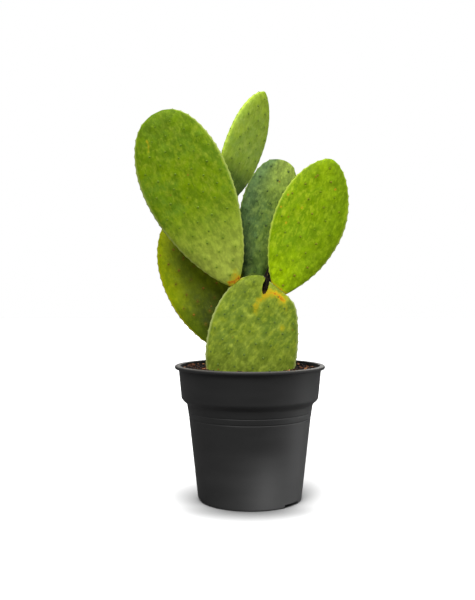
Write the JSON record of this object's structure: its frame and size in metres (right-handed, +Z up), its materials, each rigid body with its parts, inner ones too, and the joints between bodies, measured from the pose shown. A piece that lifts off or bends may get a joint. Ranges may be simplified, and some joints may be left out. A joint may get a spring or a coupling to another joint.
{
  "type": "potted paddle cactus",
  "caption": "Branching paddle cactus of flat jointed pads dotted with areoles, rooted in a tapered round nursery pot with a rolled rim and a collar.",
  "frame": {"origin": "centre of the pot's underside, on the surface it stands on", "axes": "+Z up along the pot's axis, +X to the right of the viewer, -Y towards the viewer"},
  "size_m": [0.2402, 0.1696, 0.4739],
  "materials": {
    "pot_plastic": "satin moulded",
    "potting_mix": "coarse bark and grit",
    "base_skin": "waxy, mottled",
    "left_skin": "waxy, mottled",
    "right_skin": "waxy, mottled",
    "middle_skin": "waxy, mottled",
    "rear_left_skin": "waxy, mottled",
    "rear_top_skin": "waxy, mottled"
  },
  "bodies": {
    "root": {"pot": "pot_plastic", "soil": "potting_mix", "base_pad": "base_skin", "left_pad": "left_skin", "right_pad": "right_skin", "middle_pad": "middle_skin", "rear_left_pad": "rear_left_skin", "rear_top_pad": "rear_top_skin"}
  },
  "joints": []
}
